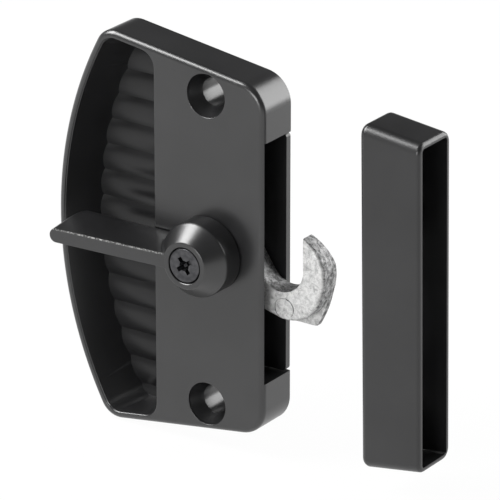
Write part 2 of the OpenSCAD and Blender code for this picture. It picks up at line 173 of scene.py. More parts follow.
# Hook
HOOK_T = 5.5
HOOK_BACK = -DEPTH + PLATE_T + SWING_GAP
HOOK_FRONT = HOOK_BACK + HOOK_T
HOOK_R = SPACE_HALF_H - SWING_GAP
HOOK_HUB_R = 9.0
BELLY_R = 10.1
BELLY_C = (18.602, -3.616)
BELLY_END = math.radians(-9)
NOSE_TURNS = (math.radians(-8.5), math.radians(-3))
THROAT_R = 6.1
THROAT_C = (BELLY_C[0] - 1.25, BELLY_C[1] + 3.0)
THROAT_SIDE = math.radians(124)
TIP_RISE = 8.2
TIP_FACET = (-0.25, -1.1)
TIP = (THROAT_C[0] + THROAT_R + 0.1, THROAT_C[1] + TIP_RISE)
TIP_THIN = 2.0
THIN_Z = 1.0
FLANGE_T = 1.8
FLANGE_X = 16.5
FLANGE_DROP = 14.9
FLANGE_CORNER_R = 1.0
PARTING_STEP = 0.1
HOOK_EDGE_R = 1.0
# Shares of that rounding at the throat and at the tip, and the way over which it grows from the tip
THROAT_SHARE = 0.2
TIP_SHARE = 0.1
TIP_WAY = 5
FLANGE_EDGE_R = 0.4
NOSE_BULGE = 1.55
EJECTOR_R = 2.6
EJECTOR_DEPTH = 0.2
EJECTOR_AT = (18.5, -10.8)
HEEL_R = 4.0
HEEL_H = 1.2
PILOT_GAP = 0.05

# Keeper
KEEPER_X = 43.2
KEEPER_Z = -0.85
KEEPER_LEAN = math.radians(1.0)
KEEPER_W = 15.9
KEEPER_D = 13.0
KEEPER_H = 83.0
KEEPER_WALL = 1.4
KEEPER_SLOPE = math.tan(math.radians(7.0))
KEEPER_EDGE_R = 1.7
KEEPER_CORNER_R = 2.6
KEEPER_RIM_R = 0.9
KEEPER_INNER_R = 0.8
KEEPER_CUT_R = 0.15
KEEPER_SLOT_Z = -4.2
KEEPER_SLOT_H = 30.0
KEEPER_SLOT_W = 7.4
KEEPER_HOLE_SPACING = 63.5
KEEPER_HOLE_R = 2.2


# Shapes. Outlines are lists of (x, z), and a ring is an outline at one height h above the front face.

def arc(cx, cz, r, start, end, steps):
    turns = [start + (end - start) * i / steps for i in range(steps + 1)]
    return [(cx + r * math.cos(a), cz + r * math.sin(a)) for a in turns]


def quarter_turn(steps):
    """Angles from zero to a right angle, for a rounded edge."""
    return [math.pi / 2 * i / steps for i in range(steps + 1)]


def full_turn(steps):
    return [2 * math.pi * i / steps for i in range(steps)]


def bowed_outline(x, top, bow, r_side, r_bow, inset=0.0):
    """Flat right side at x, slanted ends that start at height top, bowed left side, round corners."""
    slope, stretch = math.tan(END_SLANT), 1 / math.cos(END_SLANT)
    bow_c = BOW_R - BOW_X
    side_c = (x - r_side, top + slope * r_side - r_side * stretch)
    a = top + slope * x - r_bow * stretch
    k = bow_c + a * slope
    root = k * k - (1 + slope * slope) * (bow_c * bow_c + a * a - (bow - r_bow) ** 2)
    cx = (k - math.sqrt(root)) / (1 + slope * slope)
    cz = a - slope * cx
    turn = math.atan2(cz, cx - bow_c)
    quarter = math.pi / 2 - END_SLANT
    half = arc(*side_c, r_side - inset, 0, quarter, 12)
    half += arc(cx, cz, r_bow - inset, quarter, turn, 10)
    half += arc(bow_c, 0, bow - inset, turn + (math.pi - turn) / 20, math.pi, 19)
    return half + [(px, -pz) for px, pz in reversed(half[:-1])]


def body_outline(inset):
    return bowed_outline(SIDE_X, SIDE_HALF_H, BOW_R, SIDE_CORNER_R, BOW_CORNER_R, inset)


def pull_outline(depth, spread=0.0):
    """Outline of the finger pull at a share of its depth, spread outwards for the rounded rim."""
    top = SIDE_HALF_H + math.tan(END_SLANT) * (SIDE_X + PULL_X) - PULL_RIM / math.cos(END_SLANT)
    draft = PULL_DRAFT * depth
    bow = BOW_R - PULL_RIM - PULL_LEAN * depth
    return bowed_outline(-PULL_X - draft, top - draft, bow, PULL_CORNER_R, PULL_CORNER_R, -spread)


def to_frame(x, z, h):
    return Vector((x, -DEPTH - h, z)) * MM


def piece_from(name, points, faces):
    mesh = bpy.data.meshes.new(name)
    mesh.from_pydata(points, [], faces)
    form = bmesh.new()
    form.from_mesh(mesh)
    bmesh.ops.recalc_face_normals(form, faces=form.faces)
    form.to_mesh(mesh)
    form.free()
    piece = bpy.data.objects.new(name, mesh)
    bpy.context.scene.collection.objects.link(piece)
    return piece


def skin_over(name, rings):
    """Closed solid through rings of equally many points in the frame."""
    count = len(rings[0])
    points = [point for ring in rings for point in ring]
    faces = [tuple(range(count)), tuple(range(len(points) - count, len(points)))]
    for k in range(len(rings) - 1):
        for i in range(count):
            j = (i + 1) % count
            faces.append((k * count + i, k * count + j, (k + 1) * count + j, (k + 1) * count + i))
    return piece_from(name, points, faces)


def loft(name, rings):
    """Closed solid through (outline, height) rings."""
    return skin_over(name, [[to_frame(x, z, h) for x, z in outline] for outline, h in rings])


def lathe(name, section, cx, cz, steps=64):
    """Solid turned about the depth axis through (cx, cz) from (radius, height) points."""
    points, faces, rims = [], [], []
    for r, h in section:
        if r < 1e-6:
            rims.append([len(points)])
            points.append(to_frame(cx, cz, h))
        else:
            rims.append(list(range(len(points), len(points) + steps)))
            points += [to_frame(x, z, h) for x, z in arc(cx, cz, r, 0, 2 * math.pi, steps)[:-1]]
    for low, high in zip(rims, rims[1:]):
        for i in range(steps):
            j = (i + 1) % steps
            quad = [low[i % len(low)], low[j % len(low)], high[j % len(high)], high[i % len(high)]]
            face = list(dict.fromkeys(quad))
            if len(face) > 2:
                faces.append(face)
    return piece_from(name, points, faces)


def cylinder(name, r, cx, cz, low, high):
    return lathe(name, [(0, low), (r, low), (r, high), (0, high)], cx, cz)


def slab_along_x(name, profile, near, far):
    """Solid with a side view of (z, h) points, from one x to another."""
    return skin_over(name, [[to_frame(x, z, h) for z, h in profile] for x in (near, far)])


def box(name, low, high):
    """Solid box between two (x, z, h) corners."""
    outline = [(low[0], low[1]), (high[0], low[1]), (high[0], high[1]), (low[0], high[1])]
    return loft(name, [(outline, low[2]), (outline, high[2])])


def finished_mesh(piece):
    graph = bpy.context.evaluated_depsgraph_get()
    mesh = bpy.data.meshes.new_from_object(piece.evaluated_get(graph))
    piece.modifiers.clear()
    piece.data = mesh
    return piece


def combine(piece, others, operation):
    """Cuts, adds or keeps the common part of solids, and removes the tools used."""
    for other in others:
        step = piece.modifiers.new("combine", "BOOLEAN")
        step.operation = operation
        step.solver = "MANIFOLD"
        step.object = other
        bpy.context.view_layer.update()
        finished_mesh(piece)
        bpy.data.objects.remove(other)
    return piece


def soften(piece, radius, sharp_deg=40, steps=3):
    """Rounds every sharp edge of a solid."""
    step = piece.modifiers.new("soften", "BEVEL")
    step.width = radius * MM
    step.segments = steps
    step.limit_method = "ANGLE"
    step.angle_limit = math.radians(sharp_deg)
    return finished_mesh(piece)


def smooth(piece, sharp_deg=35):
    """Shades round faces smooth, keeps the corners sharp and the flat faces flat."""
    piece.data.shade_smooth()
    piece.data.set_sharp_from_angle(angle=math.radians(sharp_deg))
    step = piece.modifiers.new("flat faces first", "WEIGHTED_NORMAL")
    step.keep_sharp = True
    return finished_mesh(piece)


def rounded_over(low, high, radius, steps=6):
    """(height, inset) pairs of a straight wall whose upper edge is rounded."""
    return [(low, 0.0)] + [(high - radius + radius * math.sin(a), radius * (1 - math.cos(a)))
                           for a in quarter_turn(steps)]


# Colour and material helpers

def linear(code):
    """sRGB hex colour to linear RGBA."""
    parts = [int(code[i:i + 2], 16) / 255 for i in (1, 3, 5)]
    return tuple(c / 12.92 if c <= 0.04045 else ((c + 0.055) / 1.055) ** 2.4 for c in parts) + (1.0,)


def add(tree, kind, settings=None, links=None):
    """Adds a node; settings name its properties or sockets, and links name the sockets it is fed from."""
    made = tree.nodes.new(kind)
    for key, value in (settings or {}).items():
        if isinstance(key, int) or key in made.inputs:
            made.inputs[key].default_value = value
        else:
            setattr(made, key, value)
    for key, source in (links or {}).items():
        tree.links.new(source, made.inputs[key])
    return made


def new_material(name):
    material = bpy.data.materials.new(name)
    material.use_nodes = True
    material.node_tree.nodes.clear()
    return material, material.node_tree


def ramp_between(tree, source, low, high, start=0.35, end=0.65):
    """Colours from low to high as the source goes from start to end."""
    ramp = add(tree, "ShaderNodeValToRGB", links={"Fac": source})
    ramp.color_ramp.elements[0].position = start
    ramp.color_ramp.elements[1].position = end
    ramp.color_ramp.elements[0].color = low
    ramp.color_ramp.elements[1].color = high
    return ramp


# Materials

SHADED_RECESS_SHINE = 0.36
# Depths from which a face starts to lose and has wholly lost sheen as painted shade, in millimetres
SHADED_RECESS_DEPTHS = (-6.0, -3.0)
# Distances from an edge at which the scuff marks and painted highlight start and are full, in millimetres
SCUFF_AND_HIGHLIGHT_FRONT = (0.3, 0.15)
SCUFF_AND_HIGHLIGHT_TOP = (0.42, 0.3)


def moulded_black_abs(name, dark, pale, grain_mm, grain_depth, roughness, shine=0.78, scuffed_and_highlit=False):
    """Black ABS from a spark-eroded mould: fine matt grain, soft sheen, faint cloudy flow of the pigment.
    Faces that lie deep and look to the front, such as the pull's ridges, get less sheen as painted shade."""
    material, tree = new_material(name)
    coords = add(tree, "ShaderNodeTexCoord")
    place = coords.outputs["Object"]
    flow = add(tree, "ShaderNodeTexNoise", {"Scale": 60.0, "Detail": 3.0, "Roughness": 0.55},
               {"Vector": place}).outputs["Fac"]
    colour = ramp_between(tree, flow, linear(dark), linear(pale)).outputs["Color"]
    grain = add(tree, "ShaderNodeTexNoise", {"Scale": 1 / (grain_mm * MM), "Detail": 2.0, "Roughness": 0.6},
                {"Vector": place}).outputs["Fac"]
    if scuffed_and_highlit:
        colour = edge_scuffs_and_painted_highlight(tree, place, colour, grain)
    gloss = add(tree, "ShaderNodeMapRange", {"To Min": roughness - 0.05, "To Max": roughness + 0.05},
                {"Value": grain}).outputs["Result"]
    bump = add(tree, "ShaderNodeBump", {"Strength": 0.35, "Distance": grain_depth * MM}, {"Height": grain})
    # Less sheen on deep faces that look to the front: painted shade in the pull's recess
    turned = add(tree, "ShaderNodeSeparateXYZ", links={"Vector": coords.outputs["Normal"]}).outputs["Y"]
    faces_front = add(tree, "ShaderNodeMapRange", {"From Min": -0.3, "From Max": -0.6}, {"Value": turned})
    depth = add(tree, "ShaderNodeSeparateXYZ", links={"Vector": place}).outputs["Y"]
    lies_deep = add(tree, "ShaderNodeMapRange",
                    {"From Min": SHADED_RECESS_DEPTHS[0] * MM, "From Max": SHADED_RECESS_DEPTHS[1] * MM}, {"Value": depth})
    painted_recess_shade = add(tree, "ShaderNodeMath", {"operation": "MULTIPLY"},
               {0: faces_front.outputs["Result"], 1: lies_deep.outputs["Result"]}).outputs[0]
    level = add(tree, "ShaderNodeMapRange", {"To Min": shine, "To Max": SHADED_RECESS_SHINE}, {"Value": painted_recess_shade})
    shader = add(tree, "ShaderNodeBsdfPrincipled", {"IOR": 1.53},
                 {"Base Color": colour, "Roughness": gloss, "Normal": bump.outputs["Normal"],
                  "Specular IOR Level": level.outputs["Result"]})
    add(tree, "ShaderNodeOutputMaterial", links={"Surface": shader.outputs["BSDF"]})
    return material


def edge_scuffs_and_painted_highlight(tree, place, colour, grain):
    """Pale scuff marks along the lever's upper front edge, where the thumb rubs, with a painted highlight
    along that edge.
    """
    axes = add(tree, "ShaderNodeSeparateXYZ", links={"Vector": place})
    fall = (LEVER_TIP_H - HUB_H) / (LEVER_LEN - HUB_RING_R)
    front = (DEPTH + LEVER_TIP_H - fall * (LEVER_LEN - PIVOT_X)) * MM
    edge = LEVER_FRONT_T / 2 * MM
    sloped = add(tree, "ShaderNodeMath", {"operation": "MULTIPLY", 1: fall},
                 {0: axes.outputs["X"]}).outputs[0]
    height = add(tree, "ShaderNodeMath", {"operation": "SUBTRACT"},
                 {0: sloped, 1: axes.outputs["Y"]}).outputs[0]
    near_front = add(tree, "ShaderNodeMapRange",
                     {"From Min": front - SCUFF_AND_HIGHLIGHT_FRONT[0] * MM, "From Max": front - SCUFF_AND_HIGHLIGHT_FRONT[1] * MM},
                     {"Value": height}).outputs["Result"]
    near_top = add(tree, "ShaderNodeMapRange",
                   {"From Min": edge - SCUFF_AND_HIGHLIGHT_TOP[0] * MM, "From Max": edge - SCUFF_AND_HIGHLIGHT_TOP[1] * MM},
                   {"Value": axes.outputs["Z"]}).outputs["Result"]
    scuff_marks_and_highlight = add(tree, "ShaderNodeMapRange", {"From Min": 0.45, "From Max": 0.7}, {"Value": grain})
    hub_side = (PIVOT_X - HUB_RING_R) * MM
    on_blade = add(tree, "ShaderNodeMath", {"operation": "LESS_THAN", 1: hub_side}, {0: axes.outputs["X"]})
    share = scuff_marks_and_highlight.outputs["Result"]
    for mask in (near_front, near_top, on_blade.outputs[0]):
        share = add(tree, "ShaderNodeMath", {"operation": "MULTIPLY"}, {0: share, 1: mask}).outputs[0]
    # Pale colour along the edge: scuff marks and a painted highlight
    return add(tree, "ShaderNodeMix", {"data_type": "RGBA", 7: linear("#a8a8a6")},
               {0: share, 6: colour}).outputs[2]


def cast_zinc_alloy(name):
    """Die-cast zinc: bright mottled faces, side walls darkened as painted shade, and small dark pits."""
    material, tree = new_material(name)
    coords = add(tree, "ShaderNodeTexCoord")
    place = coords.outputs["Object"]
    skin = add(tree, "ShaderNodeTexNoise",
               {"Scale": 900.0, "Detail": 7.0, "Roughness": 0.75, "Distortion": 0.5},
               {"Vector": place}).outputs["Fac"]
    fine = add(tree, "ShaderNodeTexNoise", {"Scale": 2600.0, "Detail": 3.0, "Roughness": 0.65},
               {"Vector": place}).outputs["Fac"]
    face_turn = add(tree, "ShaderNodeSeparateXYZ", links={"Vector": coords.outputs["Normal"]}).outputs["Y"]
    across = add(tree, "ShaderNodeMath", {"operation": "ABSOLUTE"}, {0: face_turn}).outputs[0]
    # Side walls take a darker colour: painted shade
    side = add(tree, "ShaderNodeMapRange", {"From Min": 0.85, "From Max": 0.35}, {"Value": across})
    side = side.outputs["Result"]
    face_colour = ramp_between(tree, skin, linear("#a2a2a2"), linear("#d9d9d8"), 0.36, 0.58).outputs["Color"]
    painted_shade_side_colour = ramp_between(tree, skin, linear("#484848"), linear("#b4b4b4"), 0.4, 0.62).outputs["Color"]
    clean = add(tree, "ShaderNodeMix", {"data_type": "RGBA"}, {0: side, 6: face_colour, 7: painted_shade_side_colour})
    pits = add(tree, "ShaderNodeMapRange", {"From Min": 0.66, "From Max": 0.72},
               {"Value": fine}).outputs["Result"]
    colour = add(tree, "ShaderNodeMix", {"data_type": "RGBA", 7: linear("#3c3c3c")},
                 {0: pits, 6: clean.outputs[2]}).outputs[2]
    gloss = add(tree, "ShaderNodeMapRange", {"To Min": 0.45, "To Max": 0.75},
                {"Value": skin}).outputs["Result"]
    bump_skin = add(tree, "ShaderNodeBump", {"Strength": 0.6, "Distance": 0.15 * MM}, {"Height": skin})
    bump = add(tree, "ShaderNodeBump", {"Strength": 0.5, "Distance": 0.04 * MM},
               {"Height": fine, "Normal": bump_skin.outputs["Normal"]})
    shader = add(tree, "ShaderNodeBsdfPrincipled", {"Metallic": 0.7},
                 {"Base Color": colour, "Roughness": gloss, "Normal": bump.outputs["Normal"]})
    add(tree, "ShaderNodeOutputMaterial", links={"Surface": shader.outputs["BSDF"]})
    return material


def plated_steel(name, dark, pale, roughness, streak):
    """Small steel part, plated or oiled black: thin smooth coat over faint rolling or turning marks."""
    material, tree = new_material(name)
    place = add(tree, "ShaderNodeTexCoord").outputs["Object"]
    stretched = add(tree, "ShaderNodeMapping", {"Scale": (1.0, 1.0, streak)}, {"Vector": place})
    marks = add(tree, "ShaderNodeTexNoise", {"Scale": 900.0, "Detail": 3.0},
                {"Vector": stretched.outputs["Vector"]}).outputs["Fac"]
    colour = ramp_between(tree, marks, linear(dark), linear(pale)).outputs["Color"]
    bump = add(tree, "ShaderNodeBump", {"Strength": 0.25, "Distance": 0.02 * MM}, {"Height": marks})
    shader = add(tree, "ShaderNodeBsdfPrincipled", {"Metallic": 1.0, "Roughness": roughness},
                 {"Base Color": colour, "Normal": bump.outputs["Normal"]})
    add(tree, "ShaderNodeOutputMaterial", links={"Surface": shader.outputs["BSDF"]})
    return material


def moulded_nylon(name):
    """Natural nylon washer: milky, slightly translucent look with a waxy sheen."""
    material, tree = new_material(name)
    place = add(tree, "ShaderNodeTexCoord").outputs["Object"]
    cloud = add(tree, "ShaderNodeTexNoise", {"Scale": 300.0, "Detail": 2.0},
                {"Vector": place}).outputs["Fac"]
    colour = ramp_between(tree, cloud, linear("#d2cdbc"), linear("#e4dfd0")).outputs["Color"]
    bump = add(tree, "ShaderNodeBump", {"Strength": 0.2, "Distance": 0.03 * MM}, {"Height": cloud})
    shader = add(tree, "ShaderNodeBsdfPrincipled", {"IOR": 1.53, "Roughness": 0.42},
                 {"Base Color": colour, "Normal": bump.outputs["Normal"]})
    add(tree, "ShaderNodeOutputMaterial", links={"Surface": shader.outputs["BSDF"]})
    return material


HOUSING_ABS = moulded_black_abs("satin black abs housing", "#131314", "#1a1a1b", 0.4, 0.012, 0.3)
PLATE_ABS = moulded_black_abs("matt black abs back plate", "#131314", "#1a1a1b", 0.4, 0.02, 0.42)
LEVER_ABS = moulded_black_abs("satin black abs lever", "#131314", "#1a1a1b", 0.35, 0.005, 0.3, scuffed_and_highlit=True)
KEEPER_ABS = moulded_black_abs("satin black abs keeper", "#131314", "#1a1a1b", 0.4, 0.012, 0.34, 0.6)
HOOK_ZINC = cast_zinc_alloy("as-cast zinc hook")
SCREW_BLACK = plated_steel("black oxide steel screw", "#474749", "#5c5c5e", 0.38, 1.0)
SCREW_ZINC = plated_steel("zinc plated steel screws", "#8f9194", "#b4b6b8", 0.32, 1.0)
SPRING_STEEL = plated_steel("rolled spring steel leaf", "#77787b", "#97999c", 0.3, 8.0)
WASHER_NYLON = moulded_nylon("natural nylon washer")


def dress(piece, material):
    piece.data.materials.clear()
    piece.data.materials.append(material)
    return piece


def finish_piece(piece, material, body, node):
    """Gives a finished piece its material and body, and hides the plain CAD node it stands in for."""
    dress(piece, material)
    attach(piece, body)
    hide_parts(node)
    return piece


# Housing

def ridge_profile():
    """Side view of the pull's floor, as (z, h) points of one rounded ridge after another."""
    floor = PULL_FLOOR - DEPTH
    radius = ((RIDGE_PITCH / 2) ** 2 + RIDGE_H ** 2) / (2 * RIDGE_H)
    half_turn = math.asin(RIDGE_PITCH / 2 / radius)
    points = []
    for i in range(-RIDGES_EACH_WAY, RIDGES_EACH_WAY + 1):
        crest = arc(i * RIDGE_PITCH, floor + RIDGE_H - radius, radius, math.pi / 2 + half_turn,
                    math.pi / 2 - half_turn, 12)
        points += crest[1:] if points else crest
    return points


def pull_cutter():
    """Leaning walls with a rounded mouth, down to the ridges, with a soft crease round the floor."""
    floor = PULL_FLOOR - DEPTH
    rings = [(pull_outline(1.0), floor), (pull_outline(MOUTH_R / -floor), -MOUTH_R)]
    rings += [(pull_outline(0, MOUTH_R * (1 - math.cos(a))), -MOUTH_R * (1 - math.sin(a)))
              for a in quarter_turn(6)[1:]]
    rings.append((pull_outline(0, MOUTH_R), PAST))
    walls = loft("pull_walls", rings)
    profile = ridge_profile()
    profile += [(profile[-1][0], 2 * PAST), (profile[0][0], 2 * PAST)]
    combine(walls, [slab_along_x("ridged_floor", profile, -BOW_X - PAST, -PULL_X + 2 * PAST)], "INTERSECT")
    return soften(walls, PULL_CREASE_R, PULL_CREASE_DEG, 2)


def mounting_bore(z):
    """Hole, soft step, cone and head bore with a rounded mouth."""
    seat = HEAD_BORE_DEPTH + HEAD_SEAT_DEPTH
    section = [(0, -DEPTH - PAST), (HOLE_R, -DEPTH - PAST)]
    section += [(HOLE_R + out, rise - seat) for out, rise in BORE_STEPS]
    section.append((HEAD_BORE_R, -HEAD_BORE_DEPTH))
    section += [(HEAD_BORE_R + BORE_MOUTH_R * (1 - math.cos(a)), -BORE_MOUTH_R * (1 - math.sin(a)))
                for a in quarter_turn(5)]
    section += [(section[-1][0], PAST), (0, PAST)]
    return lathe("screw_bore", section, 0, z)


def cored_pocket(side):
    """Hollow behind one end of the housing, around the boss of its screw bore."""
    ring = body_outline(OUTER_WALL)
    pocket = loft("cored_pocket", [(ring, -DEPTH - PAST), (ring, -POCKET_ROOF)])
    low, high = sorted((side * (SPACE_HALF_H + OUTER_WALL), side * (SIDE_HALF_H + 10 * PAST)))
    combine(pocket, [box("pocket_ends", (SPACE_X, low, -DEPTH - 2 * PAST), (SIDE_X, high, 2 * PAST))],
            "INTERSECT")
    return combine(pocket, [cylinder("screw_boss", HEAD_BORE_R + HEAD_BOSS_WALL, 0, side * HOLE_SPACING / 2,
                                     -DEPTH - 2 * PAST, PAST)], "DIFFERENCE")


def ledge_cutter(side):
    """Notch in the end of the mechanism space for a lug of the back plate."""
    low, high = sorted((side * (SPACE_HALF_H - PAST), side * (SPACE_HALF_H + LEDGE_DEPTH + PLATE_GAP)))
    return box("plate_ledge", (LEDGE_X[0] - PLATE_GAP, low, -DEPTH - PAST),
               (LEDGE_X[1] + PLATE_GAP, high, PLATE_T - DEPTH))


def plate_boss(side):
    """Boss with the pilot hole of a back plate screw, joined to the wall beside the pull."""
    back, z = PLATE_T - DEPTH, side * PLATE_SCREW_Z
    boss = cylinder("plate_boss", PLATE_BOSS_R, PLATE_SCREW_X, z, back, OVERLAP - FACE_WALL)
    combine(boss, [box("boss_web", (SPACE_X - OVERLAP, z - PLATE_BOSS_R, back),
                       (PLATE_SCREW_X, z + PLATE_BOSS_R, OVERLAP - FACE_WALL))], "UNION")
    return combine(boss, [cylinder("pilot", PILOT_R, PLATE_SCREW_X, z, back - PAST, back + PILOT_DEPTH)],
                   "DIFFERENCE")


def spring_seat():
    """Rib over the hub that the detent leaf bears on, with a lug at each end."""
    back = PLATE_T - DEPTH + SEAT_BACK
    reach = SEAT_HALF + SEAT_LUG
    top = OVERLAP - FACE_WALL
    seat = box("spring_seat", (PIVOT_X - reach, SEAT_Z[0], back), (PIVOT_X + reach, SEAT_Z[1], top))
    lugs = [box("seat_lug", (PIVOT_X + x, SEAT_Z[0] - SEAT_HOOK, back),
                (PIVOT_X + x + SEAT_LUG, SEAT_Z[0] + OVERLAP, top)) for x in (-reach, SEAT_HALF)]
    return combine(seat, lugs, "UNION")


def make_housing():
    edge, middle = BACK_EDGE
    rings = [(body_outline(edge), -DEPTH), (body_outline(middle), -DEPTH + middle)]
    rings += [(body_outline(inset), max(h, -DEPTH + edge))
              for h, inset in rounded_over(-DEPTH, 0, EDGE_R, 10)]
    body = loft("housing_body", rings)
    cutters = [pull_cutter()]
    cutters += [mounting_bore(side * HOLE_SPACING / 2) for side in (1, -1)]
    cutters += [cored_pocket(side) for side in (1, -1)]
    cutters.append(box("mechanism_space", (SPACE_X, -SPACE_HALF_H, -DEPTH - PAST),
                       (SIDE_X + PAST, SPACE_HALF_H, -FACE_WALL)))
    cutters.append(box("slot_lip", (SIDE_X - LIP_REACH, -SPACE_HALF_H, HOOK_BACK),
                       (SIDE_X + PAST, SPACE_HALF_H, -SLOT_LIP)))
    cutters += [ledge_cutter(side) for side in (1, -1)]
    cutters.append(cylinder("journal_bore", JOURNAL_BORE_R, PIVOT_X, 0, -DEPTH, PAST))
    combine(body, cutters, "DIFFERENCE")
    combine(body, [plate_boss(side) for side in (1, -1)] + [spring_seat()], "UNION")
    smooth(body)
    return finish_piece(body, HOUSING_ABS, "frame", "housing")


# Lever

def hub_section():
    """Half section of the hub and its journal from the axis: straight wall, cone, ring, soft corners."""
    corner = arc(HUB_R - HUB_CORNER_R, HUB_STRAIGHT_H - HUB_CORNER_DROP, HUB_CORNER_R, 0, HUB_CONE_TURN, 7)
    shoulder = arc(HUB_RING_R - HUB_RING_EDGE_R / 2, HUB_H - HUB_RING_EDGE_R, HUB_RING_EDGE_R,
                   HUB_CONE_TURN, math.pi / 2, 5)
    journal = [(0, HOOK_FRONT + FACE_GAP), (JOURNAL_R, HOOK_FRONT + FACE_GAP), (JOURNAL_R, FACE_GAP)]
    foot = [(HUB_R - HUB_FOOT_EDGE, FACE_GAP), (HUB_R, FACE_GAP + HUB_FOOT_EDGE)]
    return journal + foot + corner + shoulder + [(0, HUB_H)]


def hub_radius(h):
    """Radius of the hub's outer wall at a height."""
    wall = hub_section()[4:-1]
    for (r0, h0), (r1, h1) in zip(wall, wall[1:]):
        if h0 <= h < h1:
            return r0 + (r1 - r0) * (h - h0) / (h1 - h0)
    return wall[0][0] if h < wall[0][1] else wall[-1][0]


def blade_ring(tip_h, half, reach, corner_r):
    """Blade cut at one height of its tip, with a hollow corner where it leaves the hub."""
    fall = (LEVER_TIP_H - HUB_H) * (tip_h / LEVER_TIP_H) ** 2 / (LEVER_LEN - HUB_RING_R)
    hub = hub_radius(tip_h - fall * (LEVER_LEN - HUB_R)) - BLADE_SINK
    root_x = math.sqrt((hub + ROOT_R) ** 2 - (half + ROOT_R) ** 2)
    turn = math.atan2(half + ROOT_R, root_x)
    upper = [(-hub / 2, half / 2)]
    upper += arc(-root_x, half + ROOT_R, ROOT_R, -turn, -math.pi / 2, 8)
    upper += arc(corner_r - reach, half - corner_r, corner_r, math.pi / 2, math.pi, 8)
    return [to_frame(PIVOT_X + x, z, tip_h - fall * (LEVER_LEN + x))
            for x, z in upper + [(x, -z) for x, z in reversed(upper)]]


def make_blade():
    """Blade from the housing out to the rising front edge, through stations of the height at its tip,
    half its width, its reach from the pivot and the radius of its corners."""
    front, back = LEVER_FRONT_T / 2, LEVER_BACK_T / 2
    stations = [(0.37, back - 0.3, 34.9, 1.2), (0.5, back - 0.1, 35.1, 1.3),
                (0.8, back, 35.3, 1.4), (1.7, back, 35.8, 1.4),
                (3.0, back - 0.1, 36.2, 1.4), (5.3, back - 0.45, 36.6, 1.45),
                (8.3, front + 0.45, 36.8, 1.6), (10.6, front + 0.1, 36.95, 1.65),
                (11.4, front, LEVER_LEN, 1.7), (11.6, front - 0.06, LEVER_LEN - 0.06, 1.66),
                (LEVER_TIP_H, front - 0.25, LEVER_LEN - 0.25, 1.48)]
    return skin_over("blade", [blade_ring(*station) for station in stations])


def make_lever():
    lever = lathe("lever_body", hub_section(), PIVOT_X, 0, 128)
    half = DRIVE_W / 2
    drive = box("drive_square", (PIVOT_X - half, -half, HOOK_FRONT - DRIVE_H + LOOSE_GAP),
                (PIVOT_X + half, half, HOOK_FRONT + 2 * FACE_GAP))
    combine(lever, [drive, make_blade()], "UNION")
    wide = SCREW_HEAD_R + HEAD_GAP
    edge = HEAD_SEAT_EDGE
    seat = [(0, -DEPTH), (SCREW_R + LOOSE_GAP, -DEPTH), (SCREW_R + LOOSE_GAP, HEAD_LOW - 0.2),
            (wide, HEAD_LOW + SCREW_HEAD_R - SCREW_R), (wide, HUB_H - edge), (wide + edge, HUB_H + 0.01),
            (wide + edge, HUB_H + PAST), (0, HUB_H + PAST)]
    combine(lever, [lathe("screw_seat", seat, PIVOT_X, 0, 72)], "DIFFERENCE")
    smooth(lever)
    return finish_piece(lever, LEVER_ABS, "latch", "thumb_lever")


# Lever screw

def cross_arm(turn):
    """One tapering arm of the cross recess."""
    rings = []
    for h, share in ((HEAD_TOP - CROSS_DEPTH, 0.72), (HEAD_TOP + 0.5, 1.07)):
        length, width = CROSS_LEN / 2 * share, CROSS_W / 2 * share
        corners = [(-length, -width), (length, -width), (length, width), (-length, width)]
        rings.append(([(PIVOT_X + x * math.cos(turn) - z * math.sin(turn),
                        x * math.sin(turn) + z * math.cos(turn)) for x, z in corners], h))
    return loft("cross_arm", rings)


def make_lever_screw():
    """Machine screw with a cone under its rounded head, and a cross recess with a cone in its middle."""
    shank = [(0, SCREW_END), (SCREW_R - SCREW_END_EDGE, SCREW_END), (SCREW_R, SCREW_END + SCREW_END_EDGE),
             (SCREW_R, HEAD_LOW)]
    rim = [(SCREW_HEAD_R, HEAD_LOW + SCREW_HEAD_R - SCREW_R), (SCREW_HEAD_R, HEAD_TOP - 0.22),
           (SCREW_HEAD_R - 0.12, HEAD_TOP - 0.08), (SCREW_HEAD_R - 0.45, HEAD_TOP), (0, HEAD_TOP)]
    screw = lathe("screw_body", shank + rim, PIVOT_X, 0)
    cone = [(0, HEAD_TOP - CONE_DEPTH), (0.5, HEAD_TOP - CONE_DEPTH),
            (1.3, HEAD_TOP + 0.1), (0, HEAD_TOP + 0.1)]
    arms = [cross_arm(CROSS_TURN), cross_arm(CROSS_TURN + math.pi / 2)]
    combine(screw, arms + [lathe("cross_cone", cone, PIVOT_X, 0, 24)], "DIFFERENCE")
    smooth(screw)
    return finish_piece(screw, SCREW_BLACK, "latch", "lever_screw")


# Hook

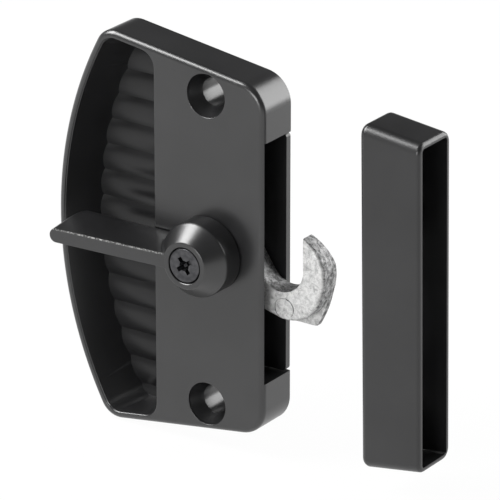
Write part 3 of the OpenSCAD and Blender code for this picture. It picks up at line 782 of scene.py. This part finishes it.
def hook_outline():
    """Hub, arm, round belly, nose and throat as one loop of arcs about the pivot."""
    reach = math.hypot(*BELLY_C)
    low = math.asin((BELLY_R - HOOK_HUB_R) / reach) + math.atan2(BELLY_C[1], BELLY_C[0]) - math.pi / 2
    foot_turn = THROAT_SIDE + math.pi / 2
    foot = (THROAT_C[0] + THROAT_R * math.cos(foot_turn), THROAT_C[1] + THROAT_R * math.sin(foot_turn))
    way = (math.cos(THROAT_SIDE), math.sin(THROAT_SIDE))
    nearest = -(foot[0] * way[0] + foot[1] * way[1])
    miss = foot[0] * way[1] - foot[1] * way[0]
    climb = nearest - math.sqrt(HOOK_HUB_R ** 2 - miss ** 2)
    wall_turn = math.atan2(foot[1] + climb * way[1], foot[0] + climb * way[0])
    loop = arc(0, 0, HOOK_HUB_R, wall_turn, 2 * math.pi + low, 48)
    loop += arc(*BELLY_C, BELLY_R, low, BELLY_END, 28)
    loop += arc(0, 0, HOOK_R, *NOSE_TURNS, 4)
    loop += bulged(loop[-1], TIP, NOSE_BULGE, 12)[1:]
    loop.append((TIP[0] + TIP_FACET[0], TIP[1] + TIP_FACET[1]))
    loop += arc(*THROAT_C, THROAT_R, 0, foot_turn - 2 * math.pi, 28)
    return [(PIVOT_X + x, z) for x, z in loop]


def bulged(start, end, bulge, steps):
    """Arc from start to end that bulges to the right of the way, seen along it."""
    dx, dz = end[0] - start[0], end[1] - start[1]
    span = math.hypot(dx, dz)
    r = span * span / 8 / bulge + bulge / 2
    cx = (start[0] + end[0]) / 2 - dz / span * (r - bulge)
    cz = (start[1] + end[1]) / 2 + dx / span * (r - bulge)
    first = math.atan2(start[1] - cz, start[0] - cx)
    return arc(cx, cz, r, first, first + 2 * math.asin(span / 2 / r), steps)


def flange_outline():
    """Heel flange: round along the swing circle, flat below, with soft corners."""
    outer, r = HOOK_R - PARTING_STEP, FLANGE_CORNER_R
    nose = math.asin((FLANGE_DROP - 0.5) / outer)
    loop = [(FLANGE_X, -2.0), (FLANGE_X, r - FLANGE_DROP)]
    loop += arc(FLANGE_X + r, r - FLANGE_DROP, r, math.pi, 1.5 * math.pi, 5)[1:]
    low_x = outer * math.cos(nose)
    loop += [(low_x - 0.6, -FLANGE_DROP), (low_x - 0.2, 0.15 - FLANGE_DROP)]
    loop += arc(0, 0, outer, -nose, math.radians(-4), 12)
    return [(PIVOT_X + x, z) for x, z in loop]


def inset_towards_tip(outline, inset):
    """Outline moved inwards, hardly at the throat and less and less towards the thin tip."""
    count = len(outline)
    moved = []
    for i, (x, z) in enumerate(outline):
        (x0, z0), (x1, z1) = outline[i - 1], outline[(i + 1) % count]
        dx, dz = x1 - x0, z1 - z0
        span = math.hypot(dx, dz)
        share = min(1.0, TIP_SHARE + math.hypot(x - PIVOT_X - TIP[0], z - TIP[1]) / TIP_WAY)
        if math.hypot(x - PIVOT_X - THROAT_C[0], z - THROAT_C[1]) < THROAT_R + 0.5:
            share = THROAT_SHARE
        moved.append((x - inset * share * dz / span, z + inset * share * dx / span))
    return moved


def make_hook():
    """Hook with a rounded front edge, a thinned tip, the flange behind its underside and the heel."""
    outline = hook_outline()
    rings = [(inset_towards_tip(outline, inset), h)
             for h, inset in rounded_over(HOOK_BACK, HOOK_FRONT, HOOK_EDGE_R)]
    hook = loft("hook_body", rings)
    lean = TIP_THIN / (TIP[1] - THIN_Z)
    high = TIP[1] + 4 * PAST
    wedge = [(THIN_Z, HOOK_BACK), (high, HOOK_BACK - PAST), (high, HOOK_BACK + lean * (high - THIN_Z))]
    tip_back = slab_along_x("tip_back", wedge, PIVOT_X + THROAT_C[0], PIVOT_X + HOOK_R + 2 * PAST)
    combine(hook, [tip_back], "DIFFERENCE")
    flange = flange_outline()
    heel_flange = loft("heel_flange", [(flange, HOOK_BACK), (flange, HOOK_BACK + FLANGE_T)])
    throat = cylinder("throat_back", THROAT_R + PARTING_STEP, PIVOT_X + THROAT_C[0], THROAT_C[1], -DEPTH, 0)
    combine(heel_flange, [throat], "DIFFERENCE")
    soften(heel_flange, FLANGE_EDGE_R)
    combine(hook, [heel_flange], "UNION")
    floor = HOOK_FRONT - EJECTOR_DEPTH
    mark = [(EJECTOR_R - 0.16, floor), (EJECTOR_R + 0.04, floor), (EJECTOR_R + 0.14, HOOK_FRONT + PAST),
            (EJECTOR_R - 0.28, HOOK_FRONT + PAST)]
    half = DRIVE_W / 2 + LOOSE_GAP
    pocket = box("drive_pocket", (PIVOT_X - half, -half, HOOK_FRONT - DRIVE_H), (PIVOT_X + half, half, 0))
    pilot = cylinder("pilot_bore", SCREW_R + PILOT_GAP, PIVOT_X, 0, -DEPTH, 0)
    heel = cylinder("heel", HEEL_R, PIVOT_X, 0, HOOK_BACK - HEEL_H, HOOK_BACK + 0.5)
    combine(hook, [heel], "UNION")
    combine(hook, [pocket, pilot, ring_cutter("ejector_mark", mark, *EJECTOR_AT)], "DIFFERENCE")
    smooth(hook)
    return finish_piece(hook, HOOK_ZINC, "latch", "hook")


def ring_cutter(name, section, cx, cz, steps=64):
    """Ring turned about the depth axis from a closed (radius, height) section."""
    rings = [[to_frame(PIVOT_X + cx + r * math.cos(a), cz + r * math.sin(a), h) for r, h in section]
             for a in full_turn(steps)]
    count = len(section)
    faces = [(k * count + i, k * count + (i + 1) % count, (k + 1) % steps * count + (i + 1) % count,
              (k + 1) % steps * count + i) for k in range(steps) for i in range(count)]
    return piece_from(name, [point for ring in rings for point in ring], faces)


# Keeper

def keeper_point(u, y, w):
    """Point at u from the closed side and w above its middle, turned by the keeper's lean."""
    c, s = math.cos(KEEPER_LEAN), math.sin(KEEPER_LEAN)
    return Vector((KEEPER_X + c * u - s * w, y, KEEPER_Z + s * u + c * w)) * MM


def keeper_ring(u, wall, inset, corner_r):
    """Rounded rectangle across the keeper at u, a wall's thickness inside it."""
    fall = KEEPER_SLOPE * (u - wall)
    if not wall:
        fall = KEEPER_SLOPE * KEEPER_W * max(u - KEEPER_EDGE_R, 0) / (KEEPER_W - KEEPER_EDGE_R)
    half = KEEPER_H / 2 - wall - fall - inset - corner_r
    middle, deep = -KEEPER_D / 2, KEEPER_D / 2 - wall - inset - corner_r
    ring = []
    for quarter, (y, w) in enumerate(((deep, half), (-deep, half), (-deep, -half), (deep, -half))):
        ring += arc(middle + y, w, corner_r, quarter * math.pi / 2, (quarter + 1) * math.pi / 2, 6)
    return [keeper_point(u, y, w) for y, w in ring]


def keeper_block(name, low, high):
    """Box between two (u, y, w) corners that leans with the keeper."""
    rings = [[keeper_point(u, y, w) for y, w in ((low[1], low[2]), (high[1], low[2]), (high[1], high[2]),
                                                 (low[1], high[2]))] for u in (low[0], high[0])]
    return skin_over(name, rings)


def keeper_hole(w):
    rings = [[keeper_point(u, -KEEPER_D / 2 + KEEPER_HOLE_R * math.cos(a), w + KEEPER_HOLE_R * math.sin(a))
              for a in full_turn(40)] for u in (-PAST, KEEPER_WALL + PAST)]
    return skin_over("keeper_hole", rings)


def make_keeper():
    """Hollow box with a rounded closed side and a softer rim, with the slot and holes of that side."""
    turns = quarter_turn(7)
    edges = [(KEEPER_EDGE_R * (1 - math.cos(a)), KEEPER_EDGE_R * (1 - math.sin(a))) for a in turns]
    edges += [(KEEPER_W - KEEPER_RIM_R * (1 - math.sin(a)), KEEPER_RIM_R * (1 - math.cos(a))) for a in turns]
    keeper = skin_over("keeper_body", [keeper_ring(u, 0, inset, KEEPER_CORNER_R - inset)
                                       for u, inset in edges])
    hollow = skin_over("keeper_hollow", [keeper_ring(u, KEEPER_WALL, 0, KEEPER_INNER_R)
                                         for u in (KEEPER_WALL, KEEPER_W + PAST)])
    half = KEEPER_SLOT_H / 2
    slot = keeper_block("keeper_slot", (-PAST, -KEEPER_WALL - KEEPER_SLOT_W, KEEPER_SLOT_Z - half),
                        (KEEPER_WALL + PAST, -KEEPER_WALL, KEEPER_SLOT_Z + half))
    holes = [keeper_hole(side * KEEPER_HOLE_SPACING / 2) for side in (1, -1)]
    combine(keeper, [hollow, slot] + holes, "DIFFERENCE")
    soften(keeper, KEEPER_CUT_R, 50)
    smooth(keeper)
    return finish_piece(keeper, KEEPER_ABS, "frame", "keeper")


make_housing()
make_lever()
make_lever_screw()
make_hook()
make_keeper()

# CAD nodes that keep their own shape
dress(frame["nodes"]["back_plate"], PLATE_ABS)
dress(frame["nodes"]["back_plate_screws"], SCREW_ZINC)
dress(frame["nodes"]["hook_washer"], WASHER_NYLON)
dress(frame["nodes"]["detent_spring"], SPRING_STEEL)


# Floor, background, lamps and camera. Lengths are in metres.

FLOOR_HALF = 3.0
FLOOR_DROP = 0.0005
FLOOR_GLOW = 0.97
STUDIO_DIM = (0.24, 0.24, 0.24, 1.0)
STUDIO_STRENGTH = 0.6
CAMERA_AZIMUTH = math.radians(34.634)
CAMERA_ELEVATION = math.radians(22.022)
CAMERA_DISTANCE = 1.0019
CAMERA_TARGET = Vector((0.004493, 0.0, -0.002161))
CAMERA_LENS = 312.03


def paper_floor():
    """Plain matt paper, shown as white with a soft shadow."""
    material, tree = new_material("white paper floor")
    rays = add(tree, "ShaderNodeLightPath")
    mirrored = add(tree, "ShaderNodeMath", {"operation": "MAXIMUM"},
                   {0: rays.outputs["Is Glossy Ray"], 1: rays.outputs["Is Transmission Ray"]})
    seen = add(tree, "ShaderNodeMath", {"operation": "MAXIMUM"},
               {0: rays.outputs["Is Camera Ray"], 1: mirrored.outputs[0]})
    share = add(tree, "ShaderNodeMath", {"operation": "MULTIPLY", 1: FLOOR_GLOW}, {0: seen.outputs[0]})
    paper = add(tree, "ShaderNodeBsdfDiffuse", {"Color": linear("#ececec")})
    glow = add(tree, "ShaderNodeEmission", {"Strength": 1.0})
    mix = add(tree, "ShaderNodeMixShader", {},
              {"Fac": share.outputs[0], 1: paper.outputs[0], 2: glow.outputs[0]})
    add(tree, "ShaderNodeOutputMaterial", links={"Surface": mix.outputs[0]})
    return material


def make_floor():
    half = FLOOR_HALF
    level = CAD_BOX[0].z - FLOOR_DROP
    corners = [(-half, -half, level), (half, -half, level), (half, half, level), (-half, half, level)]
    floor = piece_from("floor", corners, [(0, 1, 2, 3)])
    dress(floor, paper_floor())


def make_world():
    """Studio light: white at the horizon, dim above it."""
    world = bpy.data.worlds.new("studio")
    bpy.context.scene.world = world
    world.use_nodes = True
    tree = world.node_tree
    tree.nodes.clear()
    direction = add(tree, "ShaderNodeTexCoord").outputs["Generated"]
    height = add(tree, "ShaderNodeSeparateXYZ", links={"Vector": direction}).outputs["Z"]
    studio = ramp_between(tree, height, (1, 1, 1, 1), STUDIO_DIM, 0.0, 0.2).outputs["Color"]
    around = add(tree, "ShaderNodeBackground", {"Strength": STUDIO_STRENGTH}, {"Color": studio})
    add(tree, "ShaderNodeOutputWorld", links={"Surface": around.outputs["Background"]})


def lamp(name, direction, distance, size, power, aim=(0.0, -0.01, 0.0)):
    """Soft box at a distance in a direction from the object, which it faces."""
    light = bpy.data.lights.new(name, "AREA")
    light.shape = "RECTANGLE"
    light.size, light.size_y = size
    light.energy = power
    holder = bpy.data.objects.new(name, light)
    way = Vector(direction).normalized()
    holder.location = Vector(aim) + way * distance
    holder.rotation_euler = way.to_track_quat("Z", "Y").to_euler()
    bpy.context.scene.collection.objects.link(holder)


def make_camera():
    back = Vector((math.sin(CAMERA_AZIMUTH) * math.cos(CAMERA_ELEVATION),
                   -math.cos(CAMERA_AZIMUTH) * math.cos(CAMERA_ELEVATION), math.sin(CAMERA_ELEVATION)))
    camera = bpy.data.objects.new("camera", bpy.data.cameras.new("camera"))
    camera.data.lens = CAMERA_LENS
    camera.data.sensor_width = 36.0
    camera.data.clip_start = 0.05
    camera.location = CAMERA_TARGET + back * CAMERA_DISTANCE
    camera.rotation_euler = back.to_track_quat("Z", "Y").to_euler()
    bpy.context.scene.collection.objects.link(camera)
    bpy.context.scene.camera = camera


make_floor()
make_world()
lamp("key soft box", (-0.6, -0.33, 0.73), distance=0.8, size=(0.5, 0.5), power=10.5)
lamp("side card", (0.55, 0.76, 0.36), distance=0.7, size=(0.6, 0.6), power=5.5)
lamp("front fill", (0.1, -0.95, 0.25), distance=1.0, size=(0.5, 0.3), power=4.0)
make_camera()
bpy.context.scene.view_settings.view_transform = "Standard"
